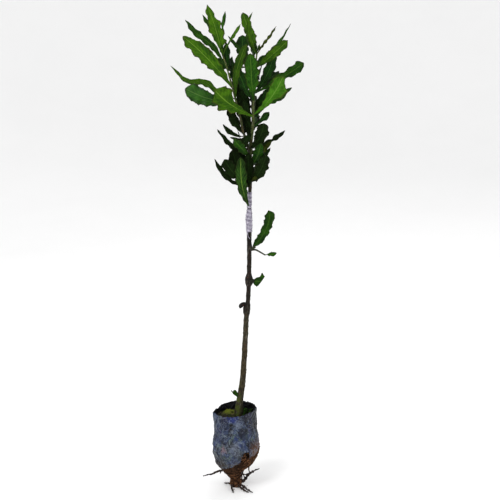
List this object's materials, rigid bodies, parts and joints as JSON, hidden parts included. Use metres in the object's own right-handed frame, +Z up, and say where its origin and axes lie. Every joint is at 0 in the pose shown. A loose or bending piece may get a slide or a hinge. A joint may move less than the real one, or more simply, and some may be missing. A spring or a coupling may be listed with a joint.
{
  "type": "sapling with root ball",
  "caption": "Grafted nursery sapling with long wavy leaves on a slim forked stem, standing on a soil root ball in a black plastic sleeve.",
  "frame": {"origin": "centre of the flat underside of the root plug that the sapling stands on", "axes": "+Z up along the stem, +X to the right seen from the front, +Y towards the back of the plant"},
  "size_m": [0.2842, 0.198, 1.054],
  "materials": {
    "bark": "matt bark, olive brown with moss low down and grey streaks higher up",
    "green_shoot": "smooth young green bark",
    "root": "rough fibrous dark root",
    "soil": "moist crumbly potting soil bound by fine roots",
    "sleeve_plastic": "crumpled blue-black film with a soft sheen and soil stains",
    "grafting_tape": "stretched white film gone lilac grey",
    "leaf_bright": "leathery glossy leaf, yellow green",
    "leaf_mid": "leathery glossy leaf, full green",
    "leaf_dark": "leathery glossy leaf, dark green"
  },
  "bodies": {
    "root": {"root_ball": "soil", "sleeve": "sleeve_plastic", "stem": "bark", "left_bough": "bark", "back_bough": "bark", "root_left": "root", "root_lower_left": "root", "root_front": "root", "root_front_right": "root", "root_front_centre": "root", "root_right": "root", "rootlet_right": "root", "rootlet_inner": "root", "graft_tape_lower": "grafting_tape", "graft_tape_upper": "grafting_tape", "hooked_stub": "bark", "cut_leaf_stalk": "bark", "side_twig": "bark", "drooping_twig": "green_shoot", "basal_sprout": "green_shoot", "cut_leaf": "leaf_mid", "side_leaf": "leaf_mid", "drooping_leaf": "leaf_mid", "basal_leaf": "leaf_mid", "crown_tip_foliage": "leaf_bright", "upper_right_foliage": "leaf_bright", "right_foliage": "leaf_mid", "centre_foliage": "leaf_bright", "left_front_foliage": "leaf_bright", "front_right_foliage": "leaf_bright", "centre_low_foliage": "leaf_dark", "mid_right_foliage": "leaf_dark", "mid_left_foliage": "leaf_dark", "low_upper_foliage": "leaf_dark", "low_right_foliage": "leaf_dark", "low_left_foliage": "leaf_dark", "low_front_foliage": "leaf_mid", "left_top_foliage": "leaf_bright", "left_upper_foliage": "leaf_mid", "left_mid_foliage": "leaf_bright", "left_low_foliage": "leaf_mid", "bough_foot_foliage": "leaf_dark", "back_top_foliage": "leaf_mid", "back_mid_foliage": "leaf_dark", "back_low_foliage": "leaf_dark"}
  },
  "joints": []
}
